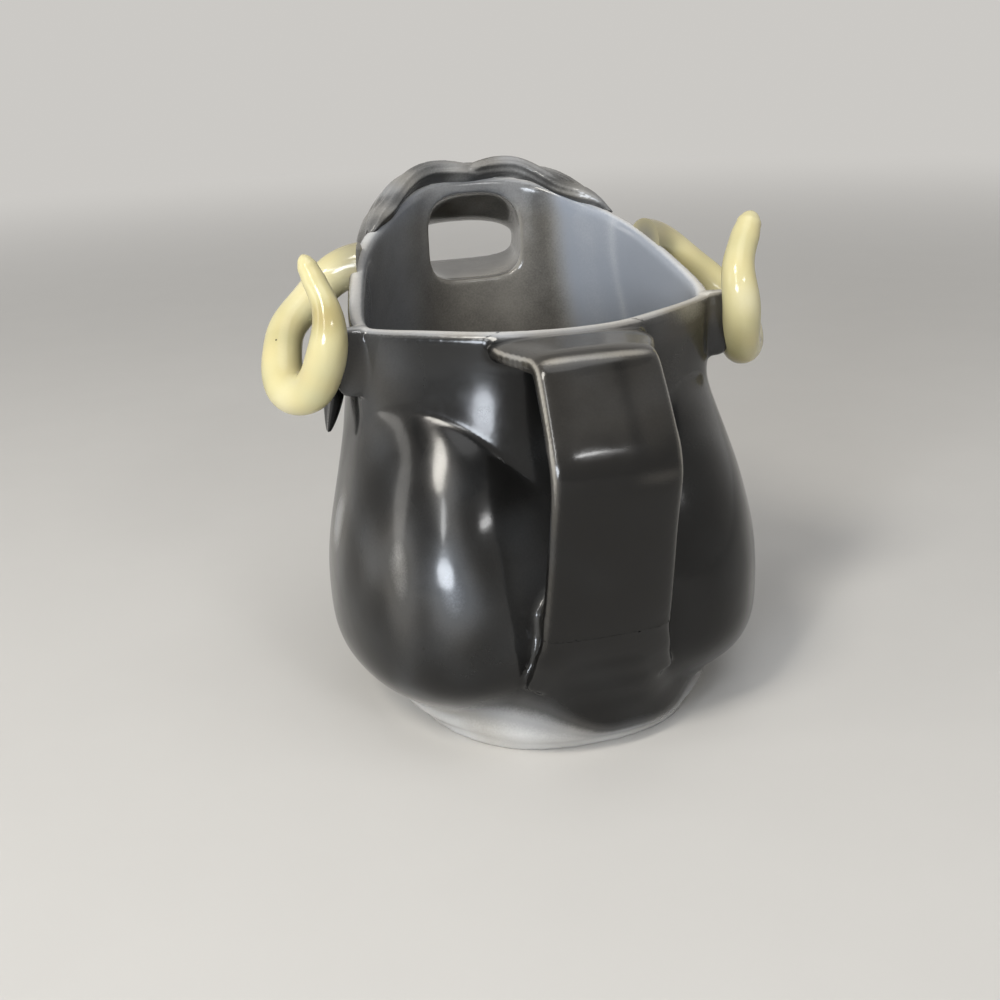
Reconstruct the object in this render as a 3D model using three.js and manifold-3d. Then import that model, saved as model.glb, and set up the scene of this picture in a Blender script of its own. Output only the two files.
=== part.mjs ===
// A glazed pottery creamer in the shape of a water buffalo. The pot is the body, with two round
// haunches beside the strap handle. The hollow snout pours and the horns curl beside the rim.
// Millimetres, +Z up, +Y the way the snout points. The origin is the middle of the foot, on the table.
import * as THREE from 'three';
import { mergeVertices } from 'three/addons/utils/BufferGeometryUtils.js';
import Module from 'manifold-3d';

const wasm = await Module();
wasm.setup();

// Gap at a luted joint between two pieces
const JOINT_GAP = 0.3;

// Pot: foot, wall and rim
const WALL = 3.2;
const FLOOR = 4.5;
const FOOT_RADIUS = 28.5;
const FOOT_FLARE_RADIUS = 32.2;
const FOOT_FLARE_HEIGHT = 5;
const BELLY_RADIUS = 33.5;
const BELLY_HEIGHT = 22;
const NECK_RADIUS = 36.5;
const NECK_HEIGHT = 55;
const CHEST_FORWARD = 43.5;
const RIM_HEIGHT = 77.5;
const CREST_HEIGHT = 98;
const FLOOR_ROUND = 9;

// Corners of the rim in plan, from the handle round to the front: distance out and distance forward
const RIM_BACK_OUT = 11;
const RIM_BACK = -19.5;
const RIM_CORNER_OUT = 36.5;
const RIM_CORNER_FORWARD = -1.5;
const RIM_TEMPLE_OUT = 31;
const RIM_TEMPLE_FORWARD = 24;
const RIM_FOREHEAD_OUT = 22;
const RIM_FOREHEAD_FORWARD = 36;
const RIM_BROW_OUT = 11;
const RIM_BROW_FORWARD = 45;

// The two round haunches either side of the handle
const HAUNCH_APART = 40;
const HAUNCH_FORWARD = 4;
const HAUNCH_HEIGHT = 24;
const HAUNCH_HALF_WIDTH = 22.6;
const HAUNCH_HALF_DEPTH = 35;
const HAUNCH_FRONT_DEPTH = 27;
const HAUNCH_BELOW = 20.5;
const HAUNCH_BLEND = 5;
const HAUNCH_ABOVE = 40;

// Snout with its pouring channel
const SNOUT_TIP = 64;
const HEAD_WIDTH = 43;
const HEAD_CHIN = 9;
const HEAD_SUNK = 14;
const SNOUT_WAIST_WIDTH = 31;
const MUZZLE_WIDTH = 36;
const SNOUT_TOP = 7;
const SNOUT_JAW = 5;
const CHANNEL_WIDTH = 19.4;
const CHANNEL_BELOW_CREST = 3;
const CHANNEL_HIGH = 18.7;
const MOUTH_WIDTH = 29.5;
const MOUTH_HIGH = 9;
const MOUTH_BELOW_CREST = 11;
const EYE_DIAMETER = 6;
const EYE_SUNK = 3.4;
const EYE_FORWARD = 3.5;
const EYE_BELOW = 7.5;
const NOSTRIL_DIAMETER = 3.4;
const NOSTRIL_APART = 12;
const NOSTRIL_ABOVE = 3.2;

// Forelock of wavy hair round the front of the rim
const HAIR_THICK = 7;
const HAIR_DEEP = 14;
const HAIR_RISE = 2;
const HAIR_TUFTS = 11;
const HAIR_WAVE = 1.5;

// Horns
const HORN_ROOT_DIAMETER = 9;
const HORN_CURL_DIAMETER = 7.8;
const HORN_TIP_DIAMETER = 4;
const HORN_REACH = 10.5;
const HORN_DROP = 12;
const HORN_RISE = 13.5;
const HORN_SWEEP = 17.5;
const HORN_ROOT_ABOVE = 9;
const WEB_LENGTH = 12;
const WEB_OUT = 3;
const WEB_THICK = 3;

// Ears
const EAR_LENGTH = 18;
const EAR_WIDTH = 10;
const EAR_THICK = 4.4;
const EAR_DROP = 22.5;
const EAR_LEAN = 4;
const EAR_SUNK = 1;
const EAR_FORWARD = 18;
const EAR_SWEEP = 4;

// Strap handle
const HANDLE_WIDTH = 23.4;
const HANDLE_ROOT_WIDTH = 29;
const HANDLE_TOP_WIDTH = 22.8;
const HANDLE_FOOT_WIDTH = 36;
const HANDLE_THICK = 4.6;
const HANDLE_FOOT_THICK = 2.4;
const HANDLE_OUT = 13.4;
const HANDLE_BEND_OUT = 8;
const HANDLE_BEND_DROP = 17;
const HANDLE_BELOW_RIM = 1.2;
const HANDLE_FOOT_HEIGHT = 12;
const HANDLE_FOOT_OUT = 2.2;
const HANDLE_CORNER_ROUND = 2.6;

// Heights that follow from the crest
const CHANNEL_TOP = CREST_HEIGHT - CHANNEL_BELOW_CREST;
const CHANNEL_FLOOR = CHANNEL_TOP - CHANNEL_HIGH;
const MOUTH_TOP = CREST_HEIGHT - MOUTH_BELOW_CREST;
const MOUTH_FLOOR = MOUTH_TOP - MOUTH_HIGH;

// Room above the rim that the filled pot takes up when it is cut from the pieces outside it
const FILLED_ABOVE = 30;

// Facets
const AROUND = 60;

const clamp01 = (v) => Math.min(1, Math.max(0, v));
const smooth = (a, b, v) => {
  const s = clamp01((v - a) / (b - a));
  return s * s * (3 - 2 * s);
};
const mix = THREE.MathUtils.lerp;
const rad = THREE.MathUtils.degToRad;
const vec = (x, y, z) => new THREE.Vector3(x, y, z);

// A smooth curve through points [place, value], read at any place
function through(points, place) {
  let i = 0;
  while (i < points.length - 2 && place > points[i + 1][0]) i += 1;
  const [x0, y0] = points[i];
  const [x1, y1] = points[i + 1];
  return mix(y0, y1, smooth(x0, x1, place));
}

// Corners of the rim in plan, going round from behind, with the mirrored half
function rimCorners() {
  const right = [
    [RIM_BACK_OUT, RIM_BACK],
    [RIM_CORNER_OUT, RIM_CORNER_FORWARD],
    [RIM_TEMPLE_OUT, RIM_TEMPLE_FORWARD],
    [RIM_FOREHEAD_OUT, RIM_FOREHEAD_FORWARD],
    [RIM_BROW_OUT, RIM_BROW_FORWARD],
  ];
  const left = right.slice().reverse().map(([x, y]) => [-x, y]);
  return [...right, ...left];
}

const RIM_MIDDLE = (RIM_BACK + RIM_BROW_FORWARD) / 2;
const RIM_SHARPNESS = 16;

// Distance from the rim's middle to its rounded outline, angle 0 behind and 90 degrees to the right
function rimRadius(angle) {
  const corners = rimCorners();
  const way = [Math.sin(angle), -Math.cos(angle)];
  let sum = 0;
  corners.forEach(([x0, y0], i) => {
    const [x1, y1] = corners[(i + 1) % corners.length];
    const length = Math.hypot(x1 - x0, y1 - y0);
    const facing = [(y1 - y0) / length, -(x1 - x0) / length];
    const distance = facing[0] * x0 + facing[1] * (y0 - RIM_MIDDLE);
    const cosine = facing[0] * way[0] + facing[1] * way[1];
    if (cosine > 0) sum += (cosine / distance) ** RIM_SHARPNESS;
  });
  return sum ** (-1 / RIM_SHARPNESS);
}

// The rim is level behind the corners and climbs to the crest in front of them
function rimHeight(angle) {
  const forward = RIM_MIDDLE - Math.cos(angle) * rimRadius(angle);
  const climb = clamp01((forward - RIM_CORNER_FORWARD) / (RIM_BROW_FORWARD - RIM_CORNER_FORWARD));
  return mix(RIM_HEIGHT, CREST_HEIGHT, climb);
}

// Distance out to one haunch's far side, or 0 where the haunch has none
function haunchRadius(angle, height, middle, side) {
  const below = height < HAUNCH_HEIGHT;
  const along = (height - HAUNCH_HEIGHT) / (below ? HAUNCH_BELOW : HAUNCH_ABOVE);
  if (Math.abs(along) >= 1) return 0;
  const swell = Math.sqrt(1 - Math.abs(along) ** (below ? 3 : 2));
  const deep = mix(HAUNCH_HALF_DEPTH, HAUNCH_FRONT_DEPTH, smooth(-0.2, 0.8, -Math.cos(angle)));
  const [ex, ey] = [Math.sin(angle) / HAUNCH_HALF_WIDTH, -Math.cos(angle) / deep];
  const cx = (side * HAUNCH_APART) / 2 / HAUNCH_HALF_WIDTH;
  const cy = (HAUNCH_FORWARD - middle) / deep;
  const a = ex * ex + ey * ey;
  const b = ex * cx + ey * cy;
  const c = cx * cx + cy * cy - swell * swell;
  const root = b * b - a * c;
  return root > 0 ? Math.max(0, (b + Math.sqrt(root)) / a) : 0;
}

// Larger of two lengths, with the corner between them rounded over the given blend
function softMax(a, b, blend) {
  const near = clamp01(0.5 + (a - b) / (2 * blend));
  return mix(b, a, near) + blend * near * (1 - near);
}

// Point on the pot's outside, at a share of the way up from the foot to the rim
function potPoint(angle, share, inward) {
  const height = share * rimHeight(angle);
  const middle = RIM_MIDDLE * smooth(0, NECK_HEIGHT, height);
  const round = through([
    [0, FOOT_RADIUS],
    [FOOT_FLARE_HEIGHT, FOOT_FLARE_RADIUS],
    [BELLY_HEIGHT, BELLY_RADIUS],
    [NECK_HEIGHT, NECK_RADIUS],
  ], height);
  const chest = mix(FOOT_FLARE_RADIUS, CHEST_FORWARD, smooth(0, NECK_HEIGHT, height)) - middle;
  const front = Math.max(0, -Math.cos(angle)) ** 3 * smooth(0, FOOT_FLARE_HEIGHT, height);
  const core = mix(round, chest, front);
  const plain = mix(core, rimRadius(angle), smooth(0.55, 0.97, share));
  const haunches = Math.max(...[-1, 1].map((side) => haunchRadius(angle, height, middle, side)));
  const radius = softMax(plain, haunches, HAUNCH_BLEND) - inward;
  return vec(Math.sin(angle) * radius, middle - Math.cos(angle) * radius, height);
}

// A closed geometry from rings of points, each end closed by a fan to its middle
function loft(rings) {
  const count = rings[0].length;
  const points = rings.flat();
  const ends = [rings[0], rings[rings.length - 1]].map((ring) => {
    const middle = ring.reduce((sum, p) => sum.add(p), vec(0, 0, 0)).divideScalar(count);
    return points.push(middle) - 1;
  });
  const faces = [];
  for (let i = 0; i < count; i += 1) {
    const next = (i + 1) % count;
    for (let r = 0; r + 1 < rings.length; r += 1) {
      const [here, above] = [r * count, (r + 1) * count];
      faces.push(here + i, here + next, above + next, here + i, above + next, above + i);
    }
    const last = (rings.length - 1) * count;
    faces.push(ends[0], next, i, ends[1], last + i, last + next);
  }
  const places = points.flatMap((p) => [p.x, p.y, p.z]);
  const geometry = new THREE.BufferGeometry();
  geometry.setAttribute('position', new THREE.Float32BufferAttribute(places, 3));
  geometry.setIndex(volume(points, faces) < 0 ? faces.reverse() : faces);
  return geometry;
}

function volume(points, faces) {
  let sum = 0;
  for (let i = 0; i < faces.length; i += 3) {
    const [a, b, c] = [points[faces[i]], points[faces[i + 1]], points[faces[i + 2]]];
    sum += a.dot(vec(0, 0, 0).crossVectors(b, c));
  }
  return sum;
}

function toSolid(geometry) {
  const bare = geometry.clone();
  bare.deleteAttribute('normal');
  bare.deleteAttribute('uv');
  const merged = mergeVertices(bare, 1e-4);
  const vertProperties = new Float32Array(merged.attributes.position.array);
  const triVerts = new Uint32Array(merged.index.array);
  return new wasm.Manifold(new wasm.Mesh({ numProp: 3, vertProperties, triVerts }));
}

function toGeometry(solid) {
  const mesh = solid.getMesh();
  const geometry = new THREE.BufferGeometry();
  geometry.setAttribute('position', new THREE.Float32BufferAttribute(mesh.vertProperties, 3));
  geometry.setIndex(Array.from(mesh.triVerts));
  return geometry;
}

const ringOf = (count, point) => (
  Array.from({ length: count }, (_, i) => point((i / count) * 2 * Math.PI))
);

// Half the wall's thickness, which is how far the rounded lip rises above the wall's side
const LIP = WALL / 2;

// Share of the way up at which the wall's side ends and the lip begins
const wallTop = (angle) => 1 - LIP / rimHeight(angle);

// Rings up the pot's outside, from the flat foot to the lip
function outsideRings(grow, steps) {
  const rings = [];
  for (let k = 0; k <= steps; k += 1) {
    const share = (k / steps) ** 0.9;
    rings.push(ringOf(AROUND, (a) => potPoint(a, share * wallTop(a), -grow)));
  }
  return rings;
}

function potSolid() {
  const outside = outsideRings(0, 24);
  const over = [30, 70, 110, 150].map((degrees) => ringOf(AROUND, (a) => {
    const p = potPoint(a, wallTop(a), LIP - LIP * Math.cos(rad(degrees)));
    return p.setZ(p.z + LIP * Math.sin(rad(degrees)));
  }));
  const inside = [];
  for (let k = 0; k <= 12; k += 1) {
    inside.push(ringOf(AROUND, (a) => {
      const low = (FLOOR + FLOOR_ROUND) / rimHeight(a);
      return potPoint(a, mix(wallTop(a), low, k / 12), WALL);
    }));
  }
  const round = [25, 50, 75].map((degrees) => ringOf(AROUND, (a) => {
    const height = FLOOR + FLOOR_ROUND * (1 - Math.sin(rad(degrees)));
    return potPoint(a, height / rimHeight(a), WALL + FLOOR_ROUND * (1 - Math.cos(rad(degrees))));
  }));
  const floor = round[2].map((p) => vec(p.x * 0.6, p.y * 0.6, FLOOR));
  return toSolid(loft([...outside, ...over, ...inside, ...round, floor]));
}

// The pot as if filled, to fit the pieces that are luted to its outside
function filledPot() {
  const outside = outsideRings(JOINT_GAP, 24);
  const above = [[0, JOINT_GAP], [LIP, JOINT_GAP], [LIP, FILLED_ABOVE]].map(([inward, rise]) => (
    ringOf(AROUND, (a) => potPoint(a, 1, inward).add(vec(0, 0, rise)))
  ));
  return toSolid(loft([...outside, ...above]));
}

// An outline across the snout, squarer with a higher power; the upper and lower halves have their own
function outline(width, low, high, [upper, lower], count, place) {
  return ringOf(count, (a) => {
    const [c, s] = [Math.cos(a), Math.sin(a)];
    const power = s > 0 ? upper : lower;
    const reach = (Math.abs(c) ** power + Math.abs(s) ** power) ** (-1 / power);
    return vec((width / 2) * c * reach, place, (low + high) / 2 + ((high - low) / 2) * s * reach);
  });
}

function channelSolid() {
  const rings = [];
  const start = RIM_BROW_FORWARD - WALL * 4;
  for (let k = 0; k <= 8; k += 1) {
    const t = k / 8;
    const place = mix(start, SNOUT_TIP + 4, t);
    const low = mix(CHANNEL_FLOOR, MOUTH_FLOOR, t);
    const high = mix(CHANNEL_TOP, MOUTH_TOP, smooth(0.25, 0.75, t));
    const width = mix(CHANNEL_WIDTH, MOUTH_WIDTH, clamp01((t - 0.2) / 0.7));
    rings.push(outline(width, low, high, [mix(3, 2.1, t), 4], 24, place));
  }
  return toSolid(loft(rings));
}

function snoutSolid(grow) {
  const rings = [];
  const start = RIM_BROW_FORWARD - HEAD_SUNK;
  const chin = CHANNEL_FLOOR - SNOUT_JAW - HEAD_CHIN;
  const widths = [[0, HEAD_WIDTH], [0.38, HEAD_WIDTH], [0.7, SNOUT_WAIST_WIDTH], [0.92, MUZZLE_WIDTH]];
  for (let k = 0; k <= 18; k += 1) {
    const t = k / 18;
    const close = Math.sqrt(Math.max(0, 1 - smooth(0.84, 1.02, t) ** 2));
    const high = mix(CREST_HEIGHT - 1, MOUTH_TOP + SNOUT_TOP, smooth(0.3, 0.75, t));
    const low = mix(chin, MOUTH_FLOOR - SNOUT_JAW, smooth(0.35, 0.8, t));
    const middle = (high + low) / 2;
    const half = ((high - low) / 2) * mix(0.72, 1, close) + grow;
    const width = through(widths, Math.min(t, 0.92)) * mix(0.75, 1, close) + 2 * grow;
    rings.push(outline(width, middle - half, middle + half, [2.4, 2.6], 30, mix(start, SNOUT_TIP, t)));
  }
  return toSolid(loft(rings));
}

function eyeSolid(side) {
  const eye = new THREE.SphereGeometry(EYE_DIAMETER / 2, 16, 10);
  const out = HEAD_WIDTH / 2 - EYE_SUNK;
  eye.translate(side * out, RIM_BROW_FORWARD + EYE_FORWARD, CHANNEL_TOP - EYE_BELOW);
  return toSolid(eye);
}

function nostrilSolid(side) {
  const nostril = new THREE.SphereGeometry(NOSTRIL_DIAMETER / 2, 12, 8);
  nostril.translate((side * NOSTRIL_APART) / 2, SNOUT_TIP - 1, MOUTH_TOP + NOSTRIL_ABOVE);
  return toSolid(nostril);
}

// The forelock: a scalloped roll that lies against the outside of the rim, from horn to horn
function hairSolid() {
  const rings = [];
  const from = rad(118);
  const to = rad(242);
  const steps = 55;
  for (let k = 0; k <= steps; k += 1) {
    const t = k / steps;
    const angle = mix(from, to, t);
    const taper = Math.sqrt(clamp01(Math.min(t, 1 - t) * 9 + 0.05));
    const wave = Math.abs(Math.sin(t * Math.PI * HAIR_TUFTS)) * HAIR_WAVE;
    const top = rimHeight(angle) + HAIR_RISE + wave * 0.8;
    const middle = top - HAIR_DEEP / 2;
    rings.push(ringOf(10, (a) => {
      const out = Math.cos(a) * (HAIR_THICK / 2 + wave) * taper;
      const p = potPoint(angle, 1, -out);
      return p.setZ(middle + Math.sin(a) * (HAIR_DEEP / 2) * taper);
    }));
  }
  return toSolid(loft(rings));
}

// A round bar along a curve, its diameter running through the given values
function bar(points, diameters, sides, steps, grow) {
  const curve = new THREE.CatmullRomCurve3(points, false, 'centripetal');
  const frames = curve.computeFrenetFrames(steps, false);
  const rings = [];
  for (let k = 0; k <= steps; k += 1) {
    const t = k / steps;
    const radius = through(diameters, t) / 2 + grow;
    const centre = curve.getPointAt(t);
    rings.push(ringOf(sides, (a) => centre.clone()
      .addScaledVector(frames.normals[k], Math.cos(a) * radius)
      .addScaledVector(frames.binormals[k], Math.sin(a) * radius)));
  }
  return toSolid(loft(rings));
}

// The horn's middle line: out from the temple, down beside the rim's corner and up to the tip.
// Each point is a share of the reach out, of the sweep forward and of the drop or the rise.
function hornPath(side) {
  const temple = vec(RIM_TEMPLE_OUT, RIM_TEMPLE_FORWARD, RIM_HEIGHT + HORN_ROOT_ABOVE);
  const corner = vec(RIM_CORNER_OUT, RIM_CORNER_FORWARD, RIM_HEIGHT);
  const at = (from, out, forward, up) => vec(
    side * (from.x + HORN_REACH * out),
    from.y + HORN_SWEEP * forward,
    from.z + (up < 0 ? HORN_DROP : HORN_RISE) * up,
  );
  return [
    at(temple, -0.57, -0.4, -0.083),
    at(temple, -0.095, -0.286, -0.083),
    at(temple, 0.38, -0.2, -0.25),
    at(temple, 0.86, -0.286, -0.583),
    at(corner, 0.74, 1, -0.167),
    at(corner, 0.93, 0.8, -0.5),
    at(corner, 1, 0.6, -0.8),
    at(corner, 0.86, 0.371, -1),
    at(corner, 0.58, 0.114, -0.92),
    at(corner, 0.39, -0.114, -0.54),
    at(corner, 0.28, -0.229, -0.12),
    at(corner, 0.24, -0.2, 0.22),
    at(corner, 0.31, -0.086, 0.48),
    at(corner, 0.46, 0.04, 0.74),
    at(corner, 0.62, 0.131, 1),
  ];
}

function hornSolid(side, grow) {
  const diameters = [
    [0, HORN_ROOT_DIAMETER],
    [0.35, HORN_CURL_DIAMETER],
    [0.75, HORN_CURL_DIAMETER],
    [0.93, HORN_TIP_DIAMETER],
    [1, HORN_TIP_DIAMETER * 0.45],
  ];
  return bar(hornPath(side), diameters, 12, 34, grow);
}

// A web of clay between the rim's corner and the near limb of the horn's curl
function webSolid(side) {
  const rings = [];
  for (let k = 0; k <= 6; k += 1) {
    const t = k / 6;
    const swell = Math.sqrt(Math.sin(Math.PI * mix(0.1, 0.9, t)));
    const height = mix(RIM_HEIGHT, RIM_HEIGHT - WEB_LENGTH, t);
    rings.push(ringOf(12, (a) => vec(
      side * (RIM_CORNER_OUT - 1 + (WEB_OUT + 1.5) * Math.cos(a) * swell),
      RIM_CORNER_FORWARD + (WEB_THICK / 2) * Math.sin(a) * swell,
      height,
    )));
  }
  return toSolid(loft(rings));
}

// A drooping leaf under the horn, from the side of the head down and out
function earSolid(side) {
  const rings = [];
  for (let k = 0; k <= 12; k += 1) {
    const t = k / 12;
    const swell = Math.sin(Math.PI * mix(0.1, 0.96, t)) ** 0.7;
    const centre = vec(
      side * (RIM_CORNER_OUT - EAR_SUNK + EAR_LEAN * t),
      RIM_CORNER_FORWARD + EAR_FORWARD - EAR_SWEEP * t,
      RIM_HEIGHT - EAR_DROP + (1 - t) * EAR_LENGTH,
    );
    rings.push(ringOf(14, (a) => centre.clone().add(vec(
      Math.cos(a) * (EAR_THICK / 2) * swell,
      Math.sin(a) * (EAR_WIDTH / 2) * swell,
      0,
    ))));
  }
  return toSolid(loft(rings));
}

// The handle's middle line seen from the side, with rounded corners: forward distance and height
function handleLine() {
  const top = RIM_HEIGHT - HANDLE_BELOW_RIM - HANDLE_THICK / 2;
  const out = RIM_BACK - HANDLE_OUT;
  return [
    [RIM_BACK + 6, top],
    [out, top],
    [out - HANDLE_BEND_OUT, top - HANDLE_BEND_DROP],
    [-BELLY_RADIUS - HANDLE_FOOT_OUT, HANDLE_FOOT_HEIGHT + 14],
    [-BELLY_RADIUS + 6, HANDLE_FOOT_HEIGHT - 6],
  ];
}

function roundedLine(corners, round) {
  const path = new THREE.CurvePath();
  let from = vec(0, ...corners[0]);
  for (let i = 1; i < corners.length; i += 1) {
    const here = vec(0, ...corners[i]);
    if (i === corners.length - 1) {
      path.add(new THREE.LineCurve3(from, here));
      break;
    }
    const back = from.clone().sub(here).setLength(round).add(here);
    const ahead = vec(0, ...corners[i + 1]).sub(here).setLength(round).add(here);
    path.add(new THREE.LineCurve3(from, back));
    path.add(new THREE.QuadraticBezierCurve3(back, here, ahead));
    from = ahead;
  }
  return path;
}

function handleSolid() {
  const path = roundedLine(handleLine(), HANDLE_CORNER_ROUND);
  const steps = 32;
  const widths = [
    [0, HANDLE_ROOT_WIDTH],
    [0.22, HANDLE_TOP_WIDTH],
    [0.42, HANDLE_WIDTH],
    [0.7, HANDLE_WIDTH],
    [1, HANDLE_FOOT_WIDTH],
  ];
  const rings = [];
  for (let k = 0; k <= steps; k += 1) {
    const t = k / steps;
    const centre = path.getPointAt(t);
    const along = path.getTangentAt(t);
    const across = vec(1, 0, 0);
    const out = vec(0, 0, 0).crossVectors(across, along);
    const half = through(widths, t) / 2;
    const thick = mix(HANDLE_THICK, HANDLE_FOOT_THICK, smooth(0.7, 1, t));
    rings.push(ringOf(16, (a) => {
      const [c, s] = [Math.cos(a), Math.sin(a)];
      const reach = (Math.abs(c) ** 5 + Math.abs(s) ** 5) ** (-1 / 5);
      const wrap = (half * c * reach) ** 2 / (2 * FOOT_FLARE_RADIUS) * smooth(0.6, 1, t);
      return centre.clone()
        .add(vec(half * c * reach, wrap, 0))
        .addScaledVector(out, (thick / 2) * s * reach);
    }));
  }
  return toSolid(loft(rings));
}

const glaze = (color, roughness) => new THREE.MeshStandardMaterial({ color, roughness, metalness: 0 });
const BLACK_GLAZE = glaze(0x26272a, 0.12);
const GREY_GLAZE = glaze(0x55585c, 0.18);
const HAIR_GLAZE = glaze(0x44464a, 0.25);
const IVORY_GLAZE = glaze(0xd9cf9f, 0.15);

const creamer = new THREE.Group();

function piece(name, solid, material) {
  const geometry = toGeometry(solid);
  geometry.computeVertexNormals();
  const mesh = new THREE.Mesh(geometry, material);
  mesh.name = name;
  creamer.add(mesh);
}

const channel = channelSolid();
const filled = filledPot();
const grownHorns = hornSolid(-1, JOINT_GAP).add(hornSolid(1, JOINT_GAP));

const webs = webSolid(-1).add(webSolid(1)).subtract(grownHorns);
const pot = potSolid().add(webs).subtract(channel);
const eyes = eyeSolid(-1).add(eyeSolid(1));
const nostrils = nostrilSolid(-1).add(nostrilSolid(1));
const snout = snoutSolid(0).subtract(filled).add(eyes).subtract(channel).subtract(nostrils);
const hair = hairSolid()
  .subtract(filled)
  .subtract(snoutSolid(JOINT_GAP))
  .subtract(grownHorns)
  .subtract(channel);

piece('vessel_body', pot, BLACK_GLAZE);
piece('head_spout', snout, GREY_GLAZE);
piece('hair_crest', hair, HAIR_GLAZE);
for (const [word, side] of [['left', -1], ['right', 1]]) {
  piece(`horn_${word}`, hornSolid(side, 0).subtract(filled), IVORY_GLAZE);
  piece(`ear_${word}`, earSolid(side).subtract(filled).subtract(grownHorns), BLACK_GLAZE);
}
piece('handle', handleSolid().subtract(filled), BLACK_GLAZE);

export default creamer;
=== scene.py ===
import math

import bpy
import numpy as np
from mathutils import Matrix, Vector


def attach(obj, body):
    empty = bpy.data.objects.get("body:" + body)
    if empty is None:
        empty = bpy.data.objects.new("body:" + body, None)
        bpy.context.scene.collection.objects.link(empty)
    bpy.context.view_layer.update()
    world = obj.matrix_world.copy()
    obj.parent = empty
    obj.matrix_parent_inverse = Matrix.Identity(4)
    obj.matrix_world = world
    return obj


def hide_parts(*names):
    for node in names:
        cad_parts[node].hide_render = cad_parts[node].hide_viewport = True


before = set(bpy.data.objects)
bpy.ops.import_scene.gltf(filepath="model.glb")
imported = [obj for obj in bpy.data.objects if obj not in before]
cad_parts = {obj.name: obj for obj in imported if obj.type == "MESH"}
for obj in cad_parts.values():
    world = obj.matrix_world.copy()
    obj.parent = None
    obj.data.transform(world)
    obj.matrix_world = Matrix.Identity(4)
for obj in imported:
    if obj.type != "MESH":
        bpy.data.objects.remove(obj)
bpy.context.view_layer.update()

# The creamer's sizes in millimetres, as in the part's source
WALL = 3.2
LIP = WALL / 2
FLOOR = 4.5
FLOOR_ROUND = 9
FOOT_RADIUS = 28.5
FOOT_FLARE_RADIUS = 32.2
FOOT_FLARE_HEIGHT = 5
BELLY_RADIUS = 33.5
BELLY_HEIGHT = 22
NECK_RADIUS = 36.5
NECK_HEIGHT = 55
CHEST_FORWARD = 43.5
RIM_HEIGHT = 77.5
CREST_HEIGHT = 98
RIM_CORNERS = [(11, -19.5), (36.5, -1.5), (31, 24), (22, 36), (11, 45)]
RIM_BACK = -19.5
RIM_CORNER_OUT = 36.5
RIM_CORNER_FORWARD = -1.5
RIM_TEMPLE_OUT = 31
RIM_TEMPLE_FORWARD = 24
RIM_BROW_FORWARD = 45
RIM_MIDDLE = (RIM_BACK + RIM_BROW_FORWARD) / 2
RIM_SHARPNESS = 16
HAUNCH_APART = 40
HAUNCH_FORWARD = 4
HAUNCH_HEIGHT = 24
HAUNCH_HALF_WIDTH = 22.6
HAUNCH_HALF_DEPTH = 35
HAUNCH_FRONT_DEPTH = 27
HAUNCH_BELOW = 20.5
HAUNCH_ABOVE = 40
HAUNCH_BLEND = 5
HAUNCH_NECK_BLEND = 6
SNOUT_TIP = 64
HEAD_WIDTH = 43
HEAD_CHIN = 9
HEAD_SUNK = 14
SNOUT_WAIST_WIDTH = 31
MUZZLE_WIDTH = 36
SNOUT_TOP = 7
SNOUT_JAW = 5
CHANNEL_WIDTH = 19.4
CHANNEL_TOP = CREST_HEIGHT - 3
CHANNEL_FLOOR = CHANNEL_TOP - 18.7
MOUTH_WIDTH = 29.5
MOUTH_TOP = CREST_HEIGHT - 11
MOUTH_FLOOR = MOUTH_TOP - 9
HORN_REACH = 10.5
HORN_DROP = 12
HORN_RISE = 13.5
HORN_SWEEP = 17.5
HORN_ROOT_ABOVE = 9
EAR_LENGTH = 18
EAR_DROP = 22.5
EAR_LEAN = 4
EAR_FORWARD = 18
EAR_SWEEP = 4
HANDLE_THICK = 4.6
HANDLE_OUT = 13.4
HANDLE_BEND_OUT = 8
HANDLE_BEND_DROP = 17
HANDLE_BELOW_RIM = 1.2
HANDLE_FOOT_HEIGHT = 12
HANDLE_FOOT_OUT = 2.2

EYE_OUT = HEAD_WIDTH / 2 - 3.6
EYE_FORWARD = RIM_BROW_FORWARD + 3.6
EYE_HIGH = CHANNEL_TOP - 7.6

# How finely the skins are made, in millimetres, points and degrees
POT_VOXEL = 0.55
HEAD_VOXEL = 0.45
HEAD_FINE_VOXEL = 0.4
HAIR_VOXEL = 0.36
EGG_ROWS = 14
EGG_SIDES = 24
SHARP_ANGLE = 50

# The studio, in metres
FLOOR_REACH = 1.9
FLOOR_BEND = 0.6
FLOOR_SIDES = 96
PAPER_COLOUR = (0.6, 0.585, 0.56)
SKY_COLOUR = (0.92, 0.95, 1.0, 1)
SKY_STRENGTH = 0.24

MM = 0.001
TURN = 2 * math.pi


def smooth(low, high, value):
    share = np.clip((value - low) / (high - low), 0, 1)
    return share * share * (3 - 2 * share)


def mix(a, b, share):
    return a + (b - a) * share


def through(points, place):
    """A smooth curve through points (place, value)."""
    result = np.full(np.shape(place), float(points[0][1]))
    for (x0, y0), (x1, y1) in zip(points, points[1:]):
        result = result + (y1 - y0) * smooth(x0, x1, place)
    return result


def ripple(points, scale, seed):
    """Slow waves between -1 and 1 over the points, about scale millimetres long."""
    draw = np.random.default_rng(seed)
    total = np.zeros(len(points))
    for _ in range(9):
        way = draw.normal(size=3)
        way /= np.linalg.norm(way) * scale * draw.uniform(0.7, 1.5) / TURN
        total += np.sin(points @ way + draw.uniform(0, TURN))
    return total / 4.5


def spot(points, centre, radii):
    """A soft patch round a place: 1 at its middle, fading to 0 past its radii."""
    away = (((points - np.array(centre, float)) / np.array(radii, float)) ** 2).sum(1)
    return np.exp(-away)


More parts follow.
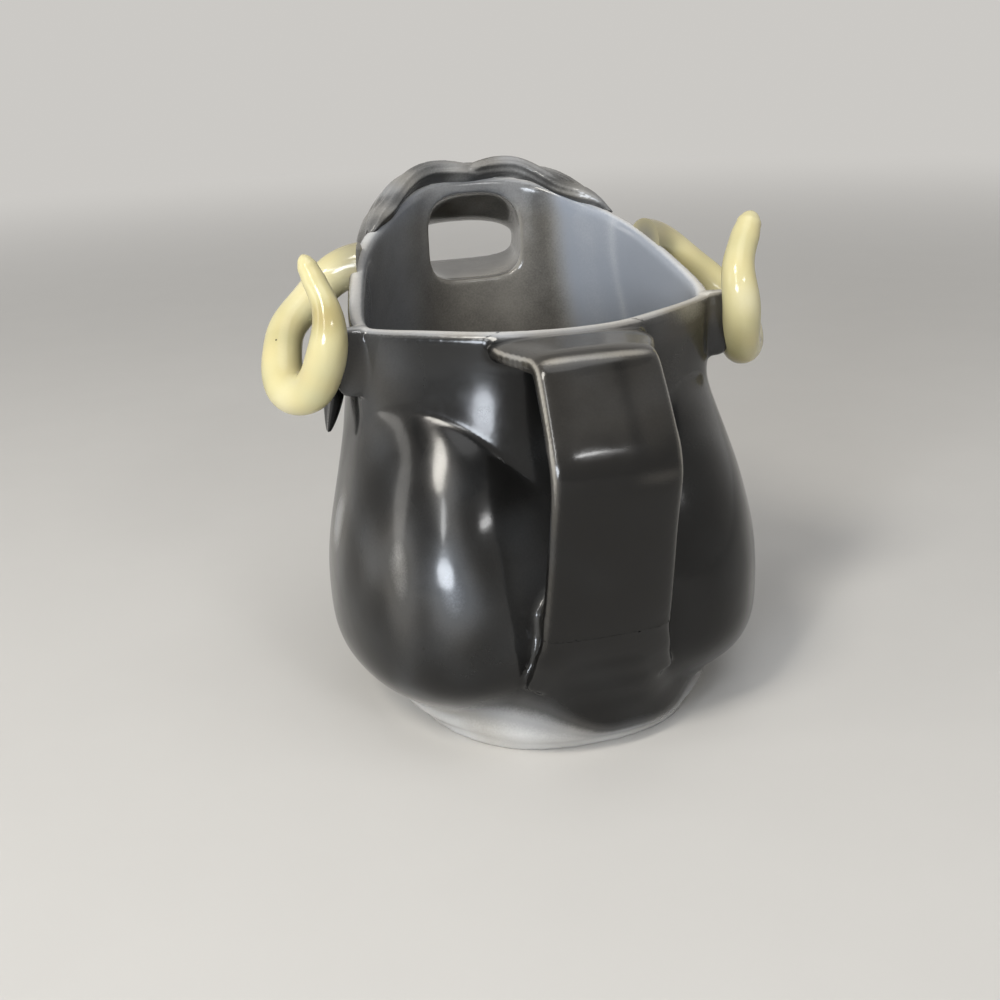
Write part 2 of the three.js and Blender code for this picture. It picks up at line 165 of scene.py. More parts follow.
# The pot's form
def rim_radius(angle):
    right = list(RIM_CORNERS)
    corners = right + [(-x, y) for x, y in reversed(right)]
    way_x, way_y = np.sin(angle), -np.cos(angle)
    total = np.zeros(np.shape(angle))
    for (x0, y0), (x1, y1) in zip(corners, corners[1:] + corners[:1]):
        length = math.hypot(x1 - x0, y1 - y0)
        face_x, face_y = (y1 - y0) / length, -(x1 - x0) / length
        distance = face_x * x0 + face_y * (y0 - RIM_MIDDLE)
        total += (np.maximum(face_x * way_x + face_y * way_y, 0) / distance) ** RIM_SHARPNESS
    return total ** (-1 / RIM_SHARPNESS)


def rim_height(angle):
    forward = RIM_MIDDLE - np.cos(angle) * rim_radius(angle)
    climb = (forward - RIM_CORNER_FORWARD) / (RIM_BROW_FORWARD - RIM_CORNER_FORWARD)
    return mix(RIM_HEIGHT, CREST_HEIGHT, np.clip(climb, 0, 1))


def haunch_radius(angle, height, middle, side):
    below = height < HAUNCH_HEIGHT
    along = (height - HAUNCH_HEIGHT) / np.where(below, HAUNCH_BELOW, HAUNCH_ABOVE)
    inside = np.abs(along) < 1
    lift = np.clip(np.abs(along), 0, 1) ** np.where(below, 3, 2)
    swell = np.sqrt(1 - lift)
    deep = mix(HAUNCH_HALF_DEPTH, HAUNCH_FRONT_DEPTH, smooth(-0.2, 0.8, -np.cos(angle)))
    ex, ey = np.sin(angle) / HAUNCH_HALF_WIDTH, -np.cos(angle) / deep
    cx = side * HAUNCH_APART / 2 / HAUNCH_HALF_WIDTH
    cy = (HAUNCH_FORWARD - middle) / deep
    a = ex * ex + ey * ey
    b = ex * cx + ey * cy
    root = b * b - a * (cx * cx + cy * cy - swell * swell)
    far = (b + np.sqrt(np.maximum(root, 0))) / a
    return np.where(inside & (root > 0), np.maximum(far, 0), 0)


def soft_max(a, b, blend):
    near = np.clip(0.5 + (a - b) / (2 * blend), 0, 1)
    return mix(b, a, near) + blend * near * (1 - near)


def root_radius(angle, height, middle):
    """The swelling where the handle runs out into the back of the pot's foot."""
    outer = through([(0, 28.2), (5, 32), (10, 32.9), (15, 33.7), (20, 34.7), (26, 36.2),
                     (33, 38)], height)
    half = through([(0, 26), (6, 23.5), (10, 20.6), (15, 17.2), (20, 14.4), (26, 12.5),
                    (33, 12)], height)
    power = mix(2.6, 4.5, smooth(6, 22, height))
    facing = np.maximum(np.cos(angle), 1e-6) / (middle + outer)
    radius = ((np.abs(np.sin(angle)) / half) ** power + facing ** power) ** (-1 / power)
    radius = radius - (np.maximum(height - 28, 0) / 1.6) ** 2
    return np.where(np.cos(angle) > 0.1, np.maximum(radius, 0), 0)


def pot_point(angle, share, inward=0.0, root=False):
    """Points on the pot's outside, or inward of it, as an array of x, y, z."""
    angle, share = np.broadcast_arrays(np.asarray(angle, float), np.asarray(share, float))
    height = share * rim_height(angle)
    middle = RIM_MIDDLE * smooth(0, NECK_HEIGHT, height)
    around = through([(0, FOOT_RADIUS), (FOOT_FLARE_HEIGHT, FOOT_FLARE_RADIUS),
                      (BELLY_HEIGHT, BELLY_RADIUS), (NECK_HEIGHT, NECK_RADIUS)], height)
    chest = mix(FOOT_FLARE_RADIUS, CHEST_FORWARD, smooth(0, NECK_HEIGHT, height)) - middle
    front = np.maximum(0, -np.cos(angle)) ** 3 * smooth(0, FOOT_FLARE_HEIGHT, height)
    core = mix(around, chest, front)
    plain = mix(core, rim_radius(angle), smooth(0.55, 0.97, share))
    haunch = np.maximum(haunch_radius(angle, height, middle, -1),
                        haunch_radius(angle, height, middle, 1))
    blend = HAUNCH_BLEND + (HAUNCH_NECK_BLEND * smooth(0.1, 0.6, np.cos(angle))
                            * smooth(26, 46, height))
    radius = soft_max(plain, haunch, blend)
    if root:
        radius = soft_max(radius, root_radius(angle, height, middle), 2.2)
    radius = radius - inward
    return np.stack([np.sin(angle) * radius, middle - np.cos(angle) * radius, height], -1)


# Meshes from rings of points
def loft(rings):
    """Vertices and faces of a closed body from rings of points, its ends closed by fans."""
    rings = np.asarray(rings, float)
    many, count = rings.shape[:2]
    points = np.vstack([rings.reshape(-1, 3), rings[0].mean(0), rings[-1].mean(0)])
    faces = []
    for r in range(many - 1):
        for i in range(count):
            j = (i + 1) % count
            here, above = r * count, (r + 1) * count
            faces.append((here + i, here + j, above + j, above + i))
    low, high, last = many * count, many * count + 1, (many - 1) * count
    for i in range(count):
        j = (i + 1) % count
        faces.append((low, j, i))
        faces.append((high, last + i, last + j))
    return points, faces


def mesh_of(bodies):
    """One mesh from several closed bodies, with every body's faces turned outward."""
    points, faces, start = [], [], 0
    for body_points, body_faces in bodies:
        points.append(body_points)
        flip = volume(body_points, body_faces) < 0
        for face in body_faces:
            face = tuple(start + k for k in face)
            faces.append(face[::-1] if flip else face)
        start += len(body_points)
    mesh = bpy.data.meshes.new("work")
    mesh.from_pydata(np.vstack(points).tolist(), [], faces)
    mesh.update()
    return mesh


def volume(points, faces):
    total = 0.0
    for face in faces:
        a = points[face[0]]
        for k in range(1, len(face) - 1):
            total += a @ np.cross(points[face[k]], points[face[k + 1]])
    return total


def changed(mesh, *modifiers):
    """A mesh after modifiers, each given as its kind and a dict of its values."""
    holder = bpy.data.objects.new("work", mesh)
    bpy.context.scene.collection.objects.link(holder)
    for kind, values in modifiers:
        modifier = holder.modifiers.new(kind, kind)
        for name, value in values.items():
            setattr(modifier, name, value)
    graph = bpy.context.evaluated_depsgraph_get()
    result = bpy.data.meshes.new_from_object(holder.evaluated_get(graph))
    bpy.data.objects.remove(holder)
    return result


def cut(mesh, *tools, how="DIFFERENCE", solver="EXACT"):
    """The mesh with each tool mesh taken away from it, or with only what they share."""
    for tool in tools:
        knife = bpy.data.objects.new("knife", tool)
        bpy.context.scene.collection.objects.link(knife)
        values = {"operation": how, "object": knife, "solver": solver}
        mesh = changed(mesh, ("BOOLEAN", values))
        bpy.data.objects.remove(knife)
    return mesh


def clay(mesh, voxel, rounds):
    """One even skin over the mesh's bodies, its edges rounded as under a thick glaze."""
    return changed(
        mesh,
        ("REMESH", {"mode": "VOXEL", "voxel_size": voxel, "adaptivity": 0.0}),
        ("SMOOTH", {"factor": 0.5, "iterations": rounds}),
    )


def places(mesh):
    flat = np.empty(len(mesh.vertices) * 3)
    mesh.vertices.foreach_get("co", flat)
    return flat.reshape(-1, 3)


def place_again(mesh, points):
    mesh.vertices.foreach_set("co", np.ascontiguousarray(points, dtype=np.float32).ravel())
    mesh.update()


def ring(count):
    """Even angles once round."""
    return np.arange(count) / count * TURN


# Pot
def wall_top(angle):
    """Share of the way up at which the wall's side ends and the rounded lip begins."""
    return 1 - LIP / rim_height(angle)


def pot_bodies():
    around = ring(300)
    top = wall_top(around)
    rings = [pot_point(around, share * top, root=True) for share in np.linspace(0, 1, 130) ** 0.9]
    for degrees in (20, 45, 70, 90, 110, 135, 160):
        turn = math.radians(degrees)
        over = pot_point(around, top, LIP - LIP * math.cos(turn))
        over[:, 2] += LIP * math.sin(turn)
        rings.append(over)
    low = (FLOOR + FLOOR_ROUND) / rim_height(around)
    for share in np.linspace(0, 1, 80):
        rings.append(pot_point(around, mix(top, low, share), WALL))
    for degrees in range(10, 90, 10):
        turn = math.radians(degrees)
        height = FLOOR + FLOOR_ROUND * (1 - math.sin(turn))
        rings.append(pot_point(around, height / rim_height(around),
                               WALL + FLOOR_ROUND * (1 - math.cos(turn))))
    last = rings[-1]
    for share in (0.75, 0.45, 0.15):
        flat = last * [share, share, 1]
        flat[:, 2] = FLOOR
        rings.append(flat)
    return loft(rings)


def web_body(side):
    """The web of clay from the rim's corner to the near limb of the horn's curl."""
    rings = []
    for share in np.linspace(0, 1, 16):
        swell = math.sqrt(math.sin(math.pi * mix(0.08, 0.92, share)))
        turn = ring(24)
        out = RIM_CORNER_OUT - 1 + 4.6 * np.cos(turn) * swell
        rings.append(np.stack([side * out, RIM_CORNER_FORWARD + 1.7 * np.sin(turn) * swell,
                               np.full(24, mix(RIM_HEIGHT + 0.5, RIM_HEIGHT - 12.5, share))], -1))
    return loft(rings)


def outline(width, low, high, upper, lower, count, place):
    turn = ring(count)
    c, s = np.cos(turn), np.sin(turn)
    power = np.where(s > 0, upper, lower)
    reach = (np.abs(c) ** power + np.abs(s) ** power) ** (-1 / power)
    return np.stack([width / 2 * c * reach, np.full(count, place),
                     (low + high) / 2 + (high - low) / 2 * s * reach], -1)


def channel_form(share):
    """The pouring channel's width, floor and top, at a share of its length."""
    return (mix(CHANNEL_WIDTH, MOUTH_WIDTH, np.clip((share - 0.2) / 0.7, 0, 1)),
            mix(CHANNEL_FLOOR, MOUTH_FLOOR, share),
            mix(CHANNEL_TOP, MOUTH_TOP, smooth(0.25, 0.75, share)))


def channel_body():
    rings = []
    for share in np.linspace(0, 1, 40):
        place = mix(RIM_BROW_FORWARD - WALL * 4, SNOUT_TIP + 4, share)
        width, low, high = channel_form(share)
        form = outline(width + 0.8 * (1 - share), low, high, mix(3, 2.1, share), 4, 64, place)
        rings.append(form + [-0.7 * (1 - share), 0, 0])
    return loft(rings)


def filled_body(inward, above=30):
    """The pot as if filled, its side inward of the real outside by the given depth."""
    around = ring(160)
    rings = [pot_point(around, share, inward) for share in np.linspace(0.05, 1, 60)]
    if above:
        top = pot_point(around, 1, inward)
        rings += [top + [0, 0, above * 0.4], top + [0, 0, above]]
    return loft(rings)


# Head with its pouring snout
def snout_top(share):
    """Height of the snout's back, at a share of its length."""
    return mix(CREST_HEIGHT - 1, MOUTH_TOP + SNOUT_TOP, smooth(0.3, 0.75, share))


def snout_body():
    rings = []
    start = RIM_BROW_FORWARD - HEAD_SUNK
    chin = CHANNEL_FLOOR - SNOUT_JAW - HEAD_CHIN
    widths = [(0, HEAD_WIDTH), (0.38, HEAD_WIDTH), (0.7, SNOUT_WAIST_WIDTH), (0.92, MUZZLE_WIDTH)]
    for share in np.linspace(0, 1, 70):
        close = math.sqrt(max(0.0, 1 - float(smooth(0.84, 1.02, share)) ** 2))
        high = snout_top(share)
        low = mix(chin, MOUTH_FLOOR - SNOUT_JAW, smooth(0.35, 0.8, share))
        middle, half = (high + low) / 2, (high - low) / 2 * mix(0.72, 1, close)
        width = through(widths, min(share, 0.92)) * mix(0.75, 1, close)
        place = mix(start, SNOUT_TIP, share)
        rings.append(outline(width, middle - half, middle + half, 2.4, 2.6, 90, place))
    return loft(rings)


def egg(centre, radii, turn=None):
    """A closed egg-like body, turned by a rotation where one is given."""
    rings = []
    for share in np.linspace(0.03, 0.97, EGG_ROWS):
        rise = math.pi * share
        around = ring(EGG_SIDES)
        rings.append(np.stack([math.sin(rise) * np.cos(around), math.sin(rise) * np.sin(around),
                               np.full(EGG_SIDES, -math.cos(rise))], -1) * np.array(radii, float))
    rings = np.array(rings)
    if turn is not None:
        rings = rings @ np.array(turn).T
    return loft(rings + np.array(centre, float))


def rotation(x=0.0, y=0.0, z=0.0):
    """A turn about X, then Y, then Z, in degrees."""
    turn = Matrix.Rotation(math.radians(z), 3, "Z") @ Matrix.Rotation(math.radians(y), 3, "Y")
    return turn @ Matrix.Rotation(math.radians(x), 3, "X")


def tube(points, diameters, sides, steps):
    """A closed bar along a smooth curve, its diameter running through the given values."""
    path = [Vector(p) for p in points]
    lengths = [0.0]
    for a, b in zip(path, path[1:]):
        lengths.append(lengths[-1] + (b - a).length ** 0.5)
    knots = np.array(lengths) / lengths[-1]
    way = np.array([list(p) for p in path])
    fine = np.linspace(0, 1, 400)
    curve = np.stack([spline(knots, way[:, k], fine) for k in range(3)], -1)
    far = np.concatenate([[0], np.cumsum(np.linalg.norm(np.diff(curve, axis=0), axis=1))])
    even = np.linspace(0, far[-1], steps)
    centre = np.stack([np.interp(even, far, curve[:, k]) for k in range(3)], -1)
    ahead = np.gradient(centre, axis=0)
    ahead /= np.linalg.norm(ahead, axis=1)[:, None]
    across = np.cross(ahead[0], [0.3, 0.2, 1.0])
    rings = []
    turn = ring(sides)
    for k in range(steps):
        across = across - ahead[k] * (across @ ahead[k])
        across /= np.linalg.norm(across)
        other = np.cross(ahead[k], across)
        radius = float(through(diameters, k / (steps - 1))) / 2
        rings.append(centre[k] + radius * (np.cos(turn)[:, None] * across
                                           + np.sin(turn)[:, None] * other))
    return loft(rings)


def spline(knots, values, fine):
    """A natural cubic spline through the values."""
    n = len(knots)
    gaps = np.diff(knots)
    a, b = np.eye(n), np.zeros(n)
    for i in range(1, n - 1):
        a[i, i - 1:i + 2] = gaps[i - 1], 2 * (gaps[i - 1] + gaps[i]), gaps[i]
        after, before = values[i + 1] - values[i], values[i] - values[i - 1]
        b[i] = 6 * (after / gaps[i] - before / gaps[i - 1])
    bend = np.linalg.solve(a, b)
    at = np.clip(np.searchsorted(knots, fine) - 1, 0, n - 2)
    h, low, high = gaps[at], knots[at + 1] - fine, fine - knots[at]
    return ((bend[at] * low ** 3 + bend[at + 1] * high ** 3) / (6 * h)
            + (values[at] / h - bend[at] * h / 6) * low
            + (values[at + 1] / h - bend[at + 1] * h / 6) * high)


def head_bodies():
    bodies = [snout_body()]
    for side in (-1, 1):
        bodies.append(egg((side * EYE_OUT, EYE_FORWARD, EYE_HIGH), (2.9, 3.3, 2.7)))
        brow = [(side * (EYE_OUT - 4.5), EYE_FORWARD + 1.5, EYE_HIGH + 3.2),
                (side * (EYE_OUT - 0.6), EYE_FORWARD + 0.8, EYE_HIGH + 3.4),
                (side * (EYE_OUT + 1.5), EYE_FORWARD - 2.8, EYE_HIGH + 1.8)]
        bodies.append(tube(brow, [(0, 2), (0.5, 3.4), (1, 1.6)], 14, 18))
        lid = [(side * (EYE_OUT - 3.2), EYE_FORWARD + 2.4, EYE_HIGH - 2.6),
               (side * (EYE_OUT + 0.6), EYE_FORWARD + 1.2, EYE_HIGH - 3.3),
               (side * (EYE_OUT + 1.6), EYE_FORWARD - 2.4, EYE_HIGH - 2.5)]
        bodies.append(tube(lid, [(0, 1.2), (0.5, 2), (1, 1.2)], 14, 18))
        bodies.append(egg((side * 6.4, SNOUT_TIP - 4.5, MOUTH_TOP + 3.6), (4.4, 4.2, 3.4)))
    return bodies


def nostril_bodies():
    bodies = []
    for side in (-1, 1):
        turn = rotation(x=-20, y=side * 32, z=side * -22)
        bodies.append(egg((side * 6.8, SNOUT_TIP - 0.7, MOUTH_TOP + 3.5), (2.3, 2.6, 1.3), turn))
        bodies.append(egg((side * (EYE_OUT + 1.9), RIM_BROW_FORWARD + 5.9, CHANNEL_TOP - 7.8),
                          (0.55, 0.75, 0.55)))
    return bodies


# Forelock
def brow_top(x, y):
    """Height of the forehead under the hair, or far below where there is no forehead."""
    start = RIM_BROW_FORWARD - HEAD_SUNK
    share = (y - start) / (SNOUT_TIP - start)
    high = snout_top(share)
    low = CHANNEL_FLOOR - SNOUT_JAW - HEAD_CHIN
    aside = np.minimum(np.abs(x) / (HEAD_WIDTH / 2), 1)
    height = (high + low) / 2 + (high - low) / 2 * (1 - aside ** 2.4) ** (1 / 2.4)
    return np.where(np.abs(x) < HEAD_WIDTH / 2, height, 0)


def lock_body(path, widths, depths, phase, lean):
    """A thick wavy lock along a path of places, flattened on the head and combed into strands."""
    way = np.array(path, float)
    knots = np.linspace(0, 1, len(way))
    fine = np.linspace(0, 1, 70)
    centre = np.stack([spline(knots, way[:, k], fine) for k in range(3)], -1)
    ahead = np.gradient(centre, axis=0)
    ahead /= np.linalg.norm(ahead, axis=1)[:, None]
    turn = ring(56)
    rings = []
    for k, share in enumerate(fine):
        away = (centre[k] - [0, RIM_MIDDLE, 0]) * [1, 1, 0]
        away = away / np.linalg.norm(away) + [0, 0, lean]
        across = np.cross(ahead[k], away)
        across /= np.linalg.norm(across)
        outward = np.cross(across, ahead[k])
        comb = 1 + 0.075 * np.cos(8 * turn + phase + 1.2 * math.sin(5 * share + phase))
        wide = float(through(widths, share)) / 2 * np.cos(turn) * comb
        deep = float(through(depths, share)) / 2 * np.sin(turn) * comb
        rings.append(centre[k] + wide[:, None] * across + deep[:, None] * outward)
    return loft(rings)


def hair_bodies():
    """Wavy locks combed from the middle of the brow, along the rim, down to both temples."""
    draw = np.random.default_rng(11)
    core = []
    for share in np.linspace(0, 1, 90):
        angle = math.radians(mix(121, 239, share))
        taper = math.sqrt(min(1.0, min(share, 1 - share) * 10 + 0.05))
        turn = ring(16)
        rim = pot_point(np.full(16, angle), 1.0, -(np.cos(turn) * 3.4 * taper + 1.2))
        rim[:, 2] = float(rim_height(angle)) - 4.4 + np.sin(turn) * 5.2 * taper
        core.append(rim)
    bodies = [loft(core)]
    for side in (-1, 1):
        for row in range(5):
            reach = 60 - 3 * row + draw.uniform(-1.5, 1.5)
            turns, start = draw.uniform(8, 10), draw.uniform(0, 6)
            path = []
            for step in np.linspace(0, 1, 12):
                at = math.radians(180 + side * mix(-8 + 2 * row, reach, step))
                wave = turns * step + start
                out = -0.3 + mix(1, 0.7, step) * 1.9 * row + 0.7 * math.sin(wave)
                x, y, _ = pot_point(at, 1.0, -out)
                top = float(rim_height(at)) + 0.9 - 0.75 * row - 0.22 * row ** 2
                top += 0.8 * math.sin(wave + 1.3)
                top -= (0.3 + 0.9 * row) * smooth(0.4, 1, step) + 2.2 * smooth(0.86, 1, step)
                path.append((x, y, max(top, float(brow_top(x, y)) + 0.4)))
            widths = [(0, 5), (0.2, 7), (0.75, 6.6), (0.93, 4.6), (1, 1.6)]
            depths = [(0, 3.4), (0.3, 4.6), (0.8, 4), (1, 1.4)]
            lean = 1.8 if row == 0 else 0.9
            bodies.append(lock_body(path, widths, depths, draw.uniform(0, TURN), lean))
    return bodies


# Horns, ears and handle
def horn_body(side):
    temple = np.array([RIM_TEMPLE_OUT, RIM_TEMPLE_FORWARD, RIM_HEIGHT + HORN_ROOT_ABOVE])
    corner = np.array([RIM_CORNER_OUT, RIM_CORNER_FORWARD, RIM_HEIGHT])

    def at(anchor, out, forward, up):
        rise = HORN_DROP if up < 0 else HORN_RISE
        x, y, z = anchor + [HORN_REACH * out, HORN_SWEEP * forward, rise * up]
        return side * x, y, z

    # The left near limb stands a little further out than the right one, as made by hand
    near, far = (0.11, 0) if side < 0 else (0, 0.15)
    path = [
        at(temple, -0.57, -0.4, -0.083),
        at(temple, -0.095, -0.286, -0.083),
        at(temple, 0.38, -0.2, -0.25),
        at(temple, 0.86, -0.286, -0.583),
        at(corner, 0.74 + near / 2, 1, -0.167),
        at(corner, 0.93 + near / 2, 0.8, -0.5),
        at(corner, 1 + near / 2, 0.6, -0.8),
        at(corner, 0.86 + near, 0.371, -1),
        at(corner, 0.58 + near, 0.114, -0.92),
        at(corner, 0.39 + near, -0.114, -0.54),
        at(corner, 0.28 + near, -0.229, -0.12),
        at(corner, 0.24 + near, -0.2, 0.22),
        at(corner, 0.31 + near * 0.8 + far * 0.2, -0.086, 0.48),
        at(corner, 0.46 + near * 0.4 + far * 0.7, 0.04, 0.74 + far * 0.3),
        at(corner, 0.62 + far, 0.131, 1 + far * 0.5),
    ]
    tip = 4.3 if side < 0 else 5.6
    diameters = [(0, 8.8), (0.3, 7), (0.52, 8), (0.72, 7.4), (0.93, tip), (0.97, tip * 0.86),
                 (0.99, tip * 0.6), (1, tip * 0.2)]
    return tube(path, diameters, 40, 170)


def ear_body(side):
    """A drooping leaf, hollowed along its middle."""
    rings = []
    for share in np.linspace(0, 1, 46):
        swell = math.sin(math.pi * mix(0.08, 0.97, share)) ** 0.75
        turn = ring(36)
        wide = np.sin(turn) * 5 * swell
        thick = np.cos(turn) * 2.1 * swell ** 0.8
        hollow = 1.3 * swell * (1 - (np.sin(turn)) ** 2) * (np.cos(turn) > 0)
        curl = 0.9 * np.sin(turn) ** 2 * swell
        x = RIM_CORNER_OUT - 1 + EAR_LEAN * share ** 1.3 + thick - hollow + curl
        y = RIM_CORNER_FORWARD + EAR_FORWARD - EAR_SWEEP * share + wide
        z = np.full(36, RIM_HEIGHT - EAR_DROP + (1 - share) * EAR_LENGTH)
        rings.append(np.stack([side * x, y, z], -1))
    return loft(rings)


def handle_line(low):
    """The strap's middle line seen from the side, its corners rounded, down to the given height."""
    top = RIM_HEIGHT - HANDLE_BELOW_RIM - HANDLE_THICK / 2
    out = RIM_BACK - HANDLE_OUT
    foot = -BELLY_RADIUS - HANDLE_FOOT_OUT
    corners = [
        (RIM_BACK + 3.5, top + 0.5),
        (out + 1.5, top + 0.2),
        (out - HANDLE_BEND_OUT, top - HANDLE_BEND_DROP + 1.2),
        (foot, HANDLE_FOOT_HEIGHT + 21),
        (foot + 2.9, HANDLE_FOOT_HEIGHT + 9),
        (foot + 2.9 + (HANDLE_FOOT_HEIGHT + 9 - low) * 0.42, low),
    ]
    rounds = [0, 2.3, 4.2, 7.0, 6.0, 0]
    line = [np.array(corners[0])]
    for before, here, after, size in zip(corners, corners[1:], corners[2:], rounds[1:]):
        before, here, after = (np.array(p, float) for p in (before, here, after))
        enter = here + (before - here) / np.linalg.norm(before - here) * size
        leave = here + (after - here) / np.linalg.norm(after - here) * size
        for share in np.linspace(0, 1, 12):
            rest = 1 - share
            line.append(rest ** 2 * enter + 2 * share * rest * here + share ** 2 * leave)
    line.append(np.array(corners[-1], float))
    line = np.array(line)
    far = np.concatenate([[0], np.cumsum(np.linalg.norm(np.diff(line, axis=0), axis=1))])
    even = np.linspace(0, far[-1], 150)
    return np.stack([np.interp(even, far, line[:, k]) for k in range(2)], -1)


def strap_half(height, forward):
    """Half the strap's width: widest where it leaves the rim and where it meets the foot."""
    down = through([(14, 14.4), (20, 13.2), (26, 12.2), (46, 11.7), (60, 11.6), (74, 11.2)], height)
    return down + 3.4 * smooth(RIM_BACK - 12, RIM_BACK, forward) * smooth(64, 68, height)


def handle_body(low, grow):
    """The strap as a closed body, or with room round it to part the fused skin there."""
    line = handle_line(low)
    ahead = np.gradient(line, axis=0)
    ahead /= np.linalg.norm(ahead, axis=1)[:, None]
    turn = ring(56)
    c, s = np.cos(turn), np.sin(turn)
    power = 4 if grow else 3.4
    reach = (np.abs(c) ** power + np.abs(s) ** power) ** (-1 / power)
    rings = []
    for k, (y, z) in enumerate(line):
        half = float(strap_half(z, y)) + grow
        x = half * c * reach
        crown = 0.35 * (x / half) ** 2 * (s > 0)
        lift = (HANDLE_THICK / 2 + grow) * s * reach - crown
        rings.append(np.stack([x, y + ahead[k][1] * lift, z - ahead[k][0] * lift], -1))
    return loft(rings)


# Glaze tones with painted light and shade, worked out for every point of a piece's skin
def edge_near(points, line, width):
    """1 on a line of places, fading to 0 at the given distance from it."""
    best = np.full(len(points), np.inf)
    for place in line:
        best = np.minimum(best, ((points - place) ** 2).sum(1))
    return np.exp(-best / width ** 2)


def set_tones(mesh, light, cool, painted_shade=None):
    """Stores by point how pale the glaze is, from thin glaze and from painted highlights and
    reflections, how cool its tone is, and how much painted shade greys it.
    """
    count = len(mesh.vertices)
    painted_shade = np.zeros(count) if painted_shade is None else painted_shade
    values = np.stack([np.clip(light, 0, 1), np.clip(cool, 0, 1), np.clip(painted_shade, 0, 1),
                       np.ones(count)], -1).astype(np.float32)
    layer = mesh.color_attributes.new("tones", "FLOAT_COLOR", "POINT")
    layer.data.foreach_set("color", values.ravel())


def facing(mesh):
    """Every point's outward direction."""
    flat = np.empty(len(mesh.vertices) * 3, np.float32)
    mesh.vertex_normals.foreach_get("vector", flat)
    return flat.reshape(-1, 3)


def hump(value, middle, width):
    return np.exp(-((value - middle) / width) ** 2)


def inside_tones(p):
    """Tones of the pot's inside: a thin bluish grey coat, darker towards the bottom as painted
    shade, with soft lighter and darker bands down the right wall.
    """
    x, y, z = p.T
    right = smooth(4, 12, x)
    left = smooth(-10, -20, x)
    # Painted shade: darker towards the bottom
    light = 0.47 + 0.13 * right + 0.05 * left - 0.08 * smooth(60, 20, z)
    light = light - 0.2 * right * hump(y, 38.2, 3.0) + 0.05 * right * hump(y, 31, 3)
    light = light + 0.09 * right * hump(y, 25.2, 1.1) + 0.02 * ripple(p * [1, 1, 0.25], 9, 2)
    cool = 0.1 + 0.8 * right * smooth(37.5, 33, y) + 0.45 * left + 0.4 * smooth(88, 95, z)
    return light, cool


